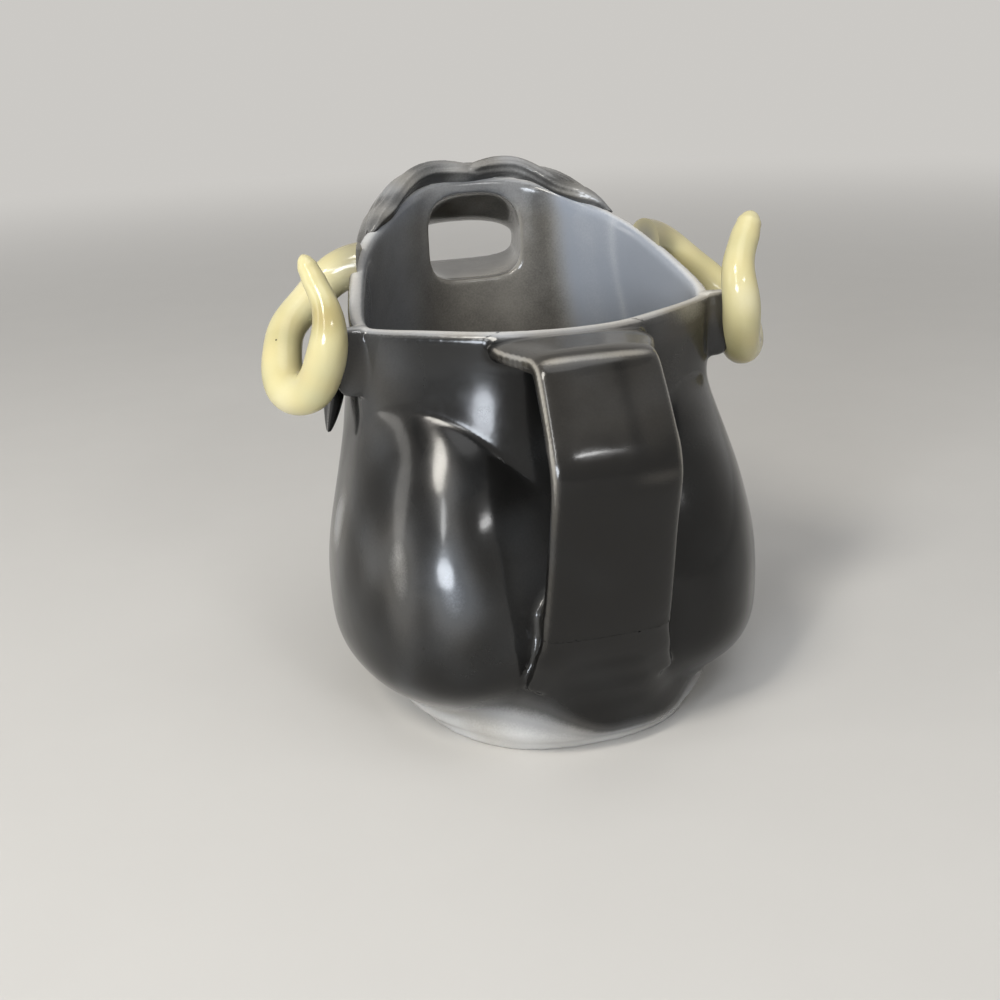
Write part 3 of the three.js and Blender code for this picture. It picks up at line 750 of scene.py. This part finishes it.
def body_tones(mesh):
    """Tones of the pot and its handle, which share one skin and one spraying, with painted
    highlights, reflections, light and shade.
    """
    p, n = places(mesh), facing(mesh)
    x, y, z = p.T
    middle = RIM_MIDDLE * smooth(0, NECK_HEIGHT, z)
    angle = np.arctan2(x, -(y - middle))
    height = rim_height(angle)
    wall = pot_point(angle, np.clip(z / height, 0, 1))
    depth = np.hypot(wall[:, 0], wall[:, 1] - middle) - np.hypot(x, y - middle)
    inside = smooth(WALL * 0.45, WALL * 0.75, depth) * smooth(FLOOR - 1.5, FLOOR - 0.5, z)
    strap = smooth(0.8, 2.4, -depth) * smooth(17, 25, z) * (y < -15)
    drift, haze = ripple(p, 26, 1), ripple(p, 11, 2)

    reach = 15 - 9 * smooth(-16, 3, x) * (y < 0) + 5 * smooth(12, 26, x) * (y < 0)
    foot = 1 - smooth(0.2 * reach, 1.15 * reach + 0.8 * drift, z)
    light = 0.03 + 0.03 * haze + 0.8 * foot
    # Sprayed glaze with painted reflection: a soft pale band down the left haunch
    light += 0.42 * spot(p, (-33.6, -20.5, 36), (2.6, 5, 13))
    # Painted highlight: a long bluish-white patch down the left haunch's bulge, in three spots
    light += 0.3 * spot(p, (-24.5, -18.5, 53.5), (2.6, 5, 5))
    light += 0.2 * spot(p, (-25.2, -23.5, 46.5), (2.0, 5, 6))
    light += 0.36 * spot(p, (-26.3, -28.2, 34), (4.2, 5, 9))
    # Sprayed glaze with painted reflection: soft pale bands near the left haunch's outline
    light += 0.2 * spot(p, (-37.5, -14.5, 39), (3, 5, 7))
    light += 0.5 * spot(p, (-41, 2, 41), (5, 6, 13))
    light += 0.24 * spot(p, (-34, -3, 68), (7, 8, 14))
    # Painted reflection on the right haunch's upper part, and painted light on the wall below the
    # right rim
    light += 0.2 * spot(p, (34, -12, 54), (10, 12, 20))
    light += 0.42 * spot(p, (29, -8, 76), (13, 10, 4))
    light += 0.1 * spot(p, (20, -14, 68), (9, 8, 9))
    light += 0.15 * smooth(8, 60, y) * (1 + 0.6 * haze)
    # Painted light that lifts the shade in the gap behind the strap's lower left
    light += 0.2 * spot(p, (-10, -29, 34), (7, 8, 15))

    # On the strap the glaze draws back from the long edges and lies thin on its level top. Painted
    # reflection lightens the strap above its bend and on its top, and painted highlights run along
    # its top fold and its bend
    over = np.where(z > 70, np.maximum(n[:, 2], -n[:, 1]), -n[:, 1])
    edge = hump(np.abs(n[:, 0]), 0.72, 0.24) * smooth(0.1, 0.45, over)
    edge = edge * (0.35 + 0.65 * smooth(45, 62, z)) * smooth(18, 32, z)
    # Painted highlight along the strap's top fold
    fold = hump(z - 75.4, 0, 0.9) * hump(y, RIM_BACK - 12.9, 1.6) * (n[:, 2] > 0.3)
    # Painted reflection: the strap above the bend and its level top lighter, with a faint darker
    # line down its face
    face = 0.13 * smooth(56, 66, z) + 0.17 * smooth(74.4, 75.6, z) + 0.03 * haze
    face = face - 0.05 * hump(x, 3.5 + (z - 60) * -0.05, 1.3) * smooth(57, 62, z)
    # Painted highlight: a thin light line along the right of the bend
    face = np.maximum(face, 0.14 * hump(z, 56.5, 1.4) * smooth(0, 6, x))
    light = mix(light, face + 0.8 * foot, strap)
    light = np.maximum(light, np.maximum(0.62 * edge, 0.58 * fold) * strap)

    ridge = hump(z, height, 1.0) * smooth(0.1, 0.6, n[:, 2])
    light = np.maximum(light, 0.85 * ridge * (1 - 0.6 * strap))
    inner, inner_cool = inside_tones(p)
    light = mix(light, np.maximum(inner, 0.85 * ridge), inside)
    # Painted highlight round the edges of the hole into the pouring channel, stronger on its sides
    around = [outline(CHANNEL_WIDTH + 0.7, CHANNEL_FLOOR, CHANNEL_TOP, 3, 4, 240, place)
              - [0.6, 0, 0] for place in (40.6, 41.4)]
    hole = edge_near(p, np.array(around).reshape(-1, 3), 1.15)
    side = smooth(0.3, 0.8, np.abs(n[:, 0]))
    light = np.maximum(light, (0.52 + 0.25 * side) * hole)
    cool = mix(0.35 + 0.2 * haze - 0.3 * strap, inner_cool, inside)
    # Warmer where the painted light lies below the right rim
    cool = cool - 0.5 * spot(p, (29, -8, 76), (14, 12, 6))
    # The bluish tint of the left haunch's painted highlight
    cool = cool + 0.5 * spot(p, (-26.3, -28, 36), (5, 6, 12))
    set_tones(mesh, light, cool)


def head_tones(mesh):
    p = places(mesh)
    x, y, z = p.T
    light = 0.2 + 0.1 * ripple(p, 14, 3)
    light = light + 0.35 * smooth(SNOUT_TIP - 7, SNOUT_TIP, y)
    light = light - 0.2 * spot(p * [0, 1, 1], (0, SNOUT_TIP - 1, MOUTH_TOP + 3.5), (1, 3, 3))
    for side in (-1, 1):
        eye = (side * EYE_OUT, EYE_FORWARD, EYE_HIGH)
        light = light - 0.5 * spot(p, eye, (4.6, 4.6, 3.4))
        light = light + 0.25 * spot(p, (side * 16, 50, 78), (6, 8, 7))
    share = (y - RIM_BROW_FORWARD + WALL * 4) / (SNOUT_TIP + 4 - RIM_BROW_FORWARD + WALL * 4)
    width, low, high = channel_form(share)
    within = (np.abs(x) < width / 2 + 0.5) & (z < high + 0.5) & (z > low - 0.5)
    channel = within * smooth(SNOUT_TIP - 1, SNOUT_TIP - 4, y)
    light = mix(light, 0.43 + 0.04 * ripple(p, 9, 13), channel)
    set_tones(mesh, light, mix(0.2 + 0.1 * ripple(p, 9, 4), 0, channel))


def hair_tones(mesh):
    p, n = places(mesh), facing(mesh)
    light = 0.46 + 0.1 * ripple(p, 11, 5) + 0.03 * ripple(p, 4, 6)
    # Painted shade: darker where the locks face downward
    light = light - 0.12 * smooth(0.2, -0.5, n[:, 2])
    set_tones(mesh, light, 0.3 + 0.25 * ripple(p, 12, 7))


def ear_tones(mesh):
    p = places(mesh)
    set_tones(mesh, 0.1 + 0.1 * ripple(p, 8, 10), 0.4 + 0 * p[:, 0])


def horn_tones(mesh):
    p = places(mesh)
    # Painted shade: the horn's root by the temple is greyed
    grey = spot(np.abs(p[:, :1]) @ [[1, 0, 0]] + p * [0, 1, 1],
                (RIM_TEMPLE_OUT - 1, RIM_TEMPLE_FORWARD - 5, RIM_HEIGHT + 8), (4.5, 6, 6))
    set_tones(mesh, 0.5 + 0.25 * ripple(p, 12, 11), 0.5 + 0.3 * ripple(p, 7, 12), grey)


# Materials
def link(tree, source, target):
    tree.links.new(source, target)


def node(tree, kind, **inputs):
    made = tree.nodes.new(kind)
    for name, value in inputs.items():
        made.inputs[name.replace("_", " ")].default_value = value
    return made


def maths(tree, what, a, b=None):
    made = tree.nodes.new("ShaderNodeMath")
    made.operation = what
    for socket, value in zip(made.inputs, (a, b)):
        if isinstance(value, (int, float)):
            socket.default_value = value
        elif value is not None:
            link(tree, value, socket)
    return made.outputs[0]


def blended(tree, kind, share, a, b):
    """A Mix node's colour: a at 0, b at 1, joined as the kind says."""
    made = tree.nodes.new("ShaderNodeMix")
    made.data_type = "RGBA"
    made.blend_type = kind
    for socket, value in ((made.inputs[0], share), (made.inputs[6], a), (made.inputs[7], b)):
        if isinstance(value, (int, float, tuple)):
            socket.default_value = value
        else:
            link(tree, value, socket)
    return made.outputs[2]


def ramp(tree, value, stops):
    made = tree.nodes.new("ShaderNodeValToRGB")
    made.color_ramp.interpolation = "EASE"
    elements = made.color_ramp.elements
    while len(elements) < len(stops):
        elements.new(0.5)
    for element, (place, colour) in zip(elements, stops):
        element.position = place
        element.color = (*colour, 1)
    link(tree, value, made.inputs[0])
    return made.outputs[0]


def noise(tree, coordinates, scale, detail=2.0, rough=0.5):
    made = node(tree, "ShaderNodeTexNoise", Scale=scale, Detail=detail, Roughness=rough)
    link(tree, coordinates, made.inputs["Vector"])
    return made.outputs[0]


def glaze(name, warm, cool, dull=0.17, spray=0.13):
    """A glossy fired glaze whose colour follows the tones, with specks, pits and a wavy gloss."""
    material = bpy.data.materials.new(name)
    material.use_nodes = True
    tree = material.node_tree
    tree.nodes.clear()
    coordinates = node(tree, "ShaderNodeTexCoord").outputs["Object"]
    layer = tree.nodes.new("ShaderNodeAttribute")
    layer.attribute_name = "tones"
    split = tree.nodes.new("ShaderNodeSeparateColor")
    link(tree, layer.outputs["Color"], split.inputs[0])
    light, tone, painted_shade = split.outputs[0], split.outputs[1], split.outputs[2]
    mist = maths(tree, "SUBTRACT", noise(tree, coordinates, 2600, 3, 0.7), 0.5)
    cloud = maths(tree, "SUBTRACT", noise(tree, coordinates, 130, 4, 0.6), 0.5)
    dark = maths(tree, "SUBTRACT", 1.0, light)
    middle = maths(tree, "MULTIPLY", maths(tree, "MULTIPLY", light, dark), 4.0)
    speckle = maths(tree, "MULTIPLY", maths(tree, "MULTIPLY", mist, middle), spray)
    patchy = maths(tree, "MULTIPLY", cloud, maths(tree, "ADD", middle, 0.1))
    patchy = maths(tree, "MULTIPLY", patchy, 0.12)
    level = maths(tree, "ADD", maths(tree, "ADD", light, speckle), patchy)
    colour = blended(tree, "MIX", tone, ramp(tree, level, warm), ramp(tree, level, cool))
    # The third tone greys the colour toward a dull brown as painted shade
    colour = blended(tree, "MIX", painted_shade, colour, (0.16, 0.15, 0.13, 1))
    holes = tree.nodes.new("ShaderNodeTexVoronoi")
    holes.inputs["Scale"].default_value = 110
    link(tree, coordinates, holes.inputs["Vector"])
    rare = maths(tree, "GREATER_THAN", noise(tree, coordinates, 60, 1, 0.5), 0.6)
    dot = maths(tree, "MULTIPLY", maths(tree, "LESS_THAN", holes.outputs["Distance"], 0.035), rare)
    pit = maths(tree, "MULTIPLY", dot, 0.75)
    colour = blended(tree, "MIX", pit, colour, (0.012, 0.011, 0.01, 1))
    shader = tree.nodes.new("ShaderNodeBsdfPrincipled")
    link(tree, colour, shader.inputs["Base Color"])
    streak = maths(tree, "MULTIPLY", noise(tree, coordinates, 420, 4, 0.65), 0.12)
    link(tree, maths(tree, "ADD", streak, dull - 0.06), shader.inputs["Roughness"])
    shader.inputs["IOR"].default_value = 1.38
    shader.inputs["Coat Weight"].default_value = 0.1
    shader.inputs["Coat Roughness"].default_value = 0.06
    skin = maths(tree, "ADD", maths(tree, "MULTIPLY", noise(tree, coordinates, 95, 2, 0.5), 1.0),
                 maths(tree, "MULTIPLY", noise(tree, coordinates, 900, 2, 0.5), 0.05))
    skin = maths(tree, "SUBTRACT", skin, maths(tree, "MULTIPLY", dot, 0.3))
    bump = node(tree, "ShaderNodeBump", Strength=0.18, Distance=0.0006)
    link(tree, skin, bump.inputs["Height"])
    link(tree, bump.outputs[0], shader.inputs["Normal"])
    output = tree.nodes.new("ShaderNodeOutputMaterial")
    link(tree, shader.outputs[0], output.inputs[0])
    return material


BLACK_WARM = [(0, (0.0055, 0.005, 0.0045)), (0.3, (0.048, 0.044, 0.038)),
              (0.6, (0.24, 0.222, 0.19)), (1, (0.62, 0.59, 0.54))]
BLACK_COOL = [(0, (0.0045, 0.0052, 0.0055)), (0.3, (0.06, 0.064, 0.07)),
              (0.6, (0.25, 0.272, 0.31)), (1, (0.6, 0.61, 0.62))]
IVORY_WARM = [(0, (0.38, 0.3, 0.13)), (0.5, (0.57, 0.49, 0.25)), (1, (0.7, 0.63, 0.4))]
IVORY_COOL = [(0, (0.36, 0.33, 0.16)), (0.5, (0.54, 0.5, 0.28)), (1, (0.67, 0.63, 0.43))]

pot_glaze = glaze("pot_glaze", BLACK_WARM, BLACK_COOL)
head_glaze = glaze("head_glaze", BLACK_WARM, BLACK_COOL)
hair_glaze = glaze("hair_glaze", BLACK_WARM, BLACK_COOL, dull=0.2)
ear_glaze = glaze("ear_glaze", BLACK_WARM, BLACK_COOL)
horn_glaze = glaze("horn_glaze", IVORY_WARM, IVORY_COOL, dull=0.15, spray=0.1)


def piece(name, mesh, material, tones, slot, *nodes):
    """Places a finished skin in metres, smooth, glazed and standing for its CAD nodes."""
    tones(mesh)
    place_again(mesh, places(mesh) * MM)
    mesh.materials.clear()
    mesh.materials.append(material)
    mesh.polygons.foreach_set("use_smooth", [True] * len(mesh.polygons))
    mesh.set_sharp_from_angle(angle=math.radians(SHARP_ANGLE))
    made = bpy.data.objects.new(name, mesh)
    mesh.name = name
    bpy.context.scene.collection.objects.link(made)
    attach(made, "root")
    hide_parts(*nodes)
    return made


def wavy(mesh, height, scale, seed):
    """Lifts the skin by slow waves, as a hand-finished casting has."""
    p = places(mesh)
    place_again(mesh, p + facing(mesh) * (height * ripple(p, scale, seed))[:, None])


def body_of(mesh):
    return places(mesh), [tuple(face.vertices) for face in mesh.polygons]


channel = mesh_of([channel_body()])
middle_wall = mesh_of([filled_body(WALL * 0.5)])

# Pot and strap are one skin, so that they run into each other, and are then parted round the strap
strap = cut(mesh_of([handle_body(15, 0)]), middle_wall)
pot = cut(mesh_of([pot_bodies(), web_body(-1), web_body(1)]), channel)
whole = clay(mesh_of([body_of(pot), body_of(strap)]), POT_VOXEL, 5)
wavy(whole, 0.08, 17, 20)
room = cut(mesh_of([handle_body(12.5, 1.2)]), middle_wall)
strap = cut(whole, room, how="INTERSECT", solver="MANIFOLD")
piece("strap_handle", strap, pot_glaze, body_tones, "black_glaze", "handle")
pot = cut(whole, room, solver="MANIFOLD")
piece("pot", pot, pot_glaze, body_tones, "black_glaze", "vessel_body")

head = clay(mesh_of(head_bodies()), HEAD_VOXEL, 7)
head = cut(head, middle_wall, channel, mesh_of(nostril_bodies()))
head = clay(head, HEAD_FINE_VOXEL, 4)
piece("head", head, head_glaze, head_tones, "grey_glaze", "head_spout")

hair = clay(mesh_of(hair_bodies()), HAIR_VOXEL, 5)
hair = cut(hair, mesh_of([filled_body(WALL * 0.15, 0)]), channel)
piece("forelock", hair, hair_glaze, hair_tones, "hair_glaze", "hair_crest")

for word, side in (("left", -1), ("right", 1)):
    horn = cut(mesh_of([horn_body(side)]), middle_wall)
    piece("horn_" + word + "_skin", horn, horn_glaze, horn_tones, "ivory_glaze", "horn_" + word)
    ear = cut(mesh_of([ear_body(side)]), middle_wall)
    piece("ear_" + word + "_skin", ear, ear_glaze, ear_tones, "black_glaze", "ear_" + word)


# Studio: a pale floor inside a round wall, soft lights and the photograph's camera
def plain(name, colour, rough):
    """A matt surface with a faint grain."""
    material = bpy.data.materials.new(name)
    material.use_nodes = True
    tree = material.node_tree
    shader = tree.nodes["Principled BSDF"]
    coordinates = node(tree, "ShaderNodeTexCoord").outputs["Object"]
    grain = noise(tree, coordinates, 30, 3, 0.6)
    shade = ramp(tree, grain, [(0, tuple(c * 0.97 for c in colour)), (1, colour)])
    link(tree, shade, shader.inputs["Base Color"])
    shader.inputs["Roughness"].default_value = rough
    return material


def paper():
    """The floor's paper: lit like any paper near the creamer, and evenly pale far behind it."""
    material = plain("floor_paper", PAPER_COLOUR, 0.75)
    tree = material.node_tree
    surface = next(n for n in tree.nodes if n.type == "BSDF_PRINCIPLED")
    output = next(n for n in tree.nodes if n.type == "OUTPUT_MATERIAL")
    place = tree.nodes.new("ShaderNodeNewGeometry")
    length = tree.nodes.new("ShaderNodeVectorMath")
    length.operation = "LENGTH"
    link(tree, place.outputs["Position"], length.inputs[0])
    far = tree.nodes.new("ShaderNodeMapRange")
    far.interpolation_type = "SMOOTHSTEP"
    far.inputs["From Min"].default_value = 0.2
    far.inputs["From Max"].default_value = 1.2
    link(tree, length.outputs["Value"], far.inputs["Value"])
    ray = tree.nodes.new("ShaderNodeLightPath")
    seen = maths(tree, "MAXIMUM", ray.outputs["Is Camera Ray"], ray.outputs["Is Glossy Ray"])
    seen = maths(tree, "MAXIMUM", seen, ray.outputs["Is Transmission Ray"])
    share = maths(tree, "MULTIPLY", seen, far.outputs["Result"])
    glow = tree.nodes.new("ShaderNodeEmission")
    glow.inputs["Color"].default_value = (*PAPER_COLOUR, 1)
    both = tree.nodes.new("ShaderNodeMixShader")
    link(tree, share, both.inputs[0])
    link(tree, surface.outputs["BSDF"], both.inputs[1])
    link(tree, glow.outputs["Emission"], both.inputs[2])
    link(tree, both.outputs["Shader"], output.inputs["Surface"])
    return material


def sweep():
    """A round floor whose edge turns up into a wall on every side."""
    profile = [(0.0001, 0.0), (0.5, 0.0), (1.2, 0.0), (FLOOR_REACH, 0.0)]
    for step in range(1, 13):
        turn = math.radians(step * 7.5)
        profile.append((FLOOR_REACH + FLOOR_BEND * math.sin(turn),
                        FLOOR_BEND - FLOOR_BEND * math.cos(turn)))
    profile += [(2.5, 1.4), (2.5, 2.4)]
    around = ring(FLOOR_SIDES)
    rings = [np.stack([r * np.sin(around), r * np.cos(around), np.full(FLOOR_SIDES, z)], -1)
             for r, z in profile]
    faces = []
    for k in range(len(profile) - 1):
        here, above = k * FLOOR_SIDES, (k + 1) * FLOOR_SIDES
        for i in range(FLOOR_SIDES):
            j = (i + 1) % FLOOR_SIDES
            faces.append((here + i, here + j, above + j, above + i))
    mesh = bpy.data.meshes.new("floor")
    mesh.from_pydata(np.vstack(rings).tolist(), [], faces)
    mesh.polygons.foreach_set("use_smooth", [True] * len(faces))
    made = bpy.data.objects.new("floor", mesh)
    mesh.materials.append(paper())
    bpy.context.scene.collection.objects.link(made)


def lamp(name, azimuth, elevation, distance, wide, tall, power, colour=(1, 1, 1)):
    """A soft light that faces the creamer. Azimuth 0 is behind the handle, 90 to the right."""
    a, e = math.radians(azimuth), math.radians(elevation)
    way = Vector((math.sin(a) * math.cos(e), -math.cos(a) * math.cos(e), math.sin(e)))
    data = bpy.data.lights.new(name, "AREA")
    data.shape = "ELLIPSE"
    data.size, data.size_y = wide, tall
    data.energy = power
    data.color = colour
    made = bpy.data.objects.new(name, data)
    made.location = Vector((0, 0, 0.05)) + way * distance
    made.rotation_euler = way.to_track_quat("Z", "Y").to_euler()
    bpy.context.scene.collection.objects.link(made)


def photo_camera():
    turn, pitch, roll = (math.radians(v) for v in (15.75, 20.0, -2.52))
    target, distance = Vector((-1.39, 26.8, 30.3)), 275.0
    level = math.cos(pitch)
    ahead = Vector((math.sin(turn) * level, math.cos(turn) * level, -math.sin(pitch)))
    right = Vector((math.cos(turn), -math.sin(turn), 0))
    up = right.cross(ahead)
    right, up = (math.cos(roll) * right + math.sin(roll) * up,
                 math.cos(roll) * up - math.sin(roll) * right)
    data = bpy.data.cameras.new("photo_camera")
    data.lens = 45.0
    data.sensor_width = 36.0
    data.clip_start, data.clip_end = 0.01, 20
    made = bpy.data.objects.new("photo_camera", data)
    axes = Matrix((right, up, -ahead)).transposed()
    made.matrix_world = Matrix.Translation((target - distance * ahead) * MM) @ axes.to_4x4()
    bpy.context.scene.collection.objects.link(made)
    bpy.context.scene.camera = made


sweep()
lamp("window_top", -54, 50, 0.9, 0.2, 0.32, 4, (1, 0.96, 0.88))
lamp("window_mid", -46, 30, 0.9, 0.08, 0.3, 1.1, (0.95, 0.96, 0.96))
lamp("window_low", -43, 9, 0.9, 0.32, 0.24, 5, (0.86, 0.92, 1.0))
lamp("side_window", -92, 20, 1.0, 0.2, 0.7, 1.3, (1, 0.97, 0.92))
lamp("fold_light", 13, 30, 0.9, 0.22, 0.08, 1.1)
lamp("ceiling", 20, 80, 1.1, 0.9, 0.9, 4)
photo_camera()

world = bpy.data.worlds.new("studio")
world.use_nodes = True
world.node_tree.nodes["Background"].inputs[0].default_value = SKY_COLOUR
world.node_tree.nodes["Background"].inputs[1].default_value = SKY_STRENGTH
bpy.context.scene.world = world
bpy.context.scene.view_settings.view_transform = "Standard"
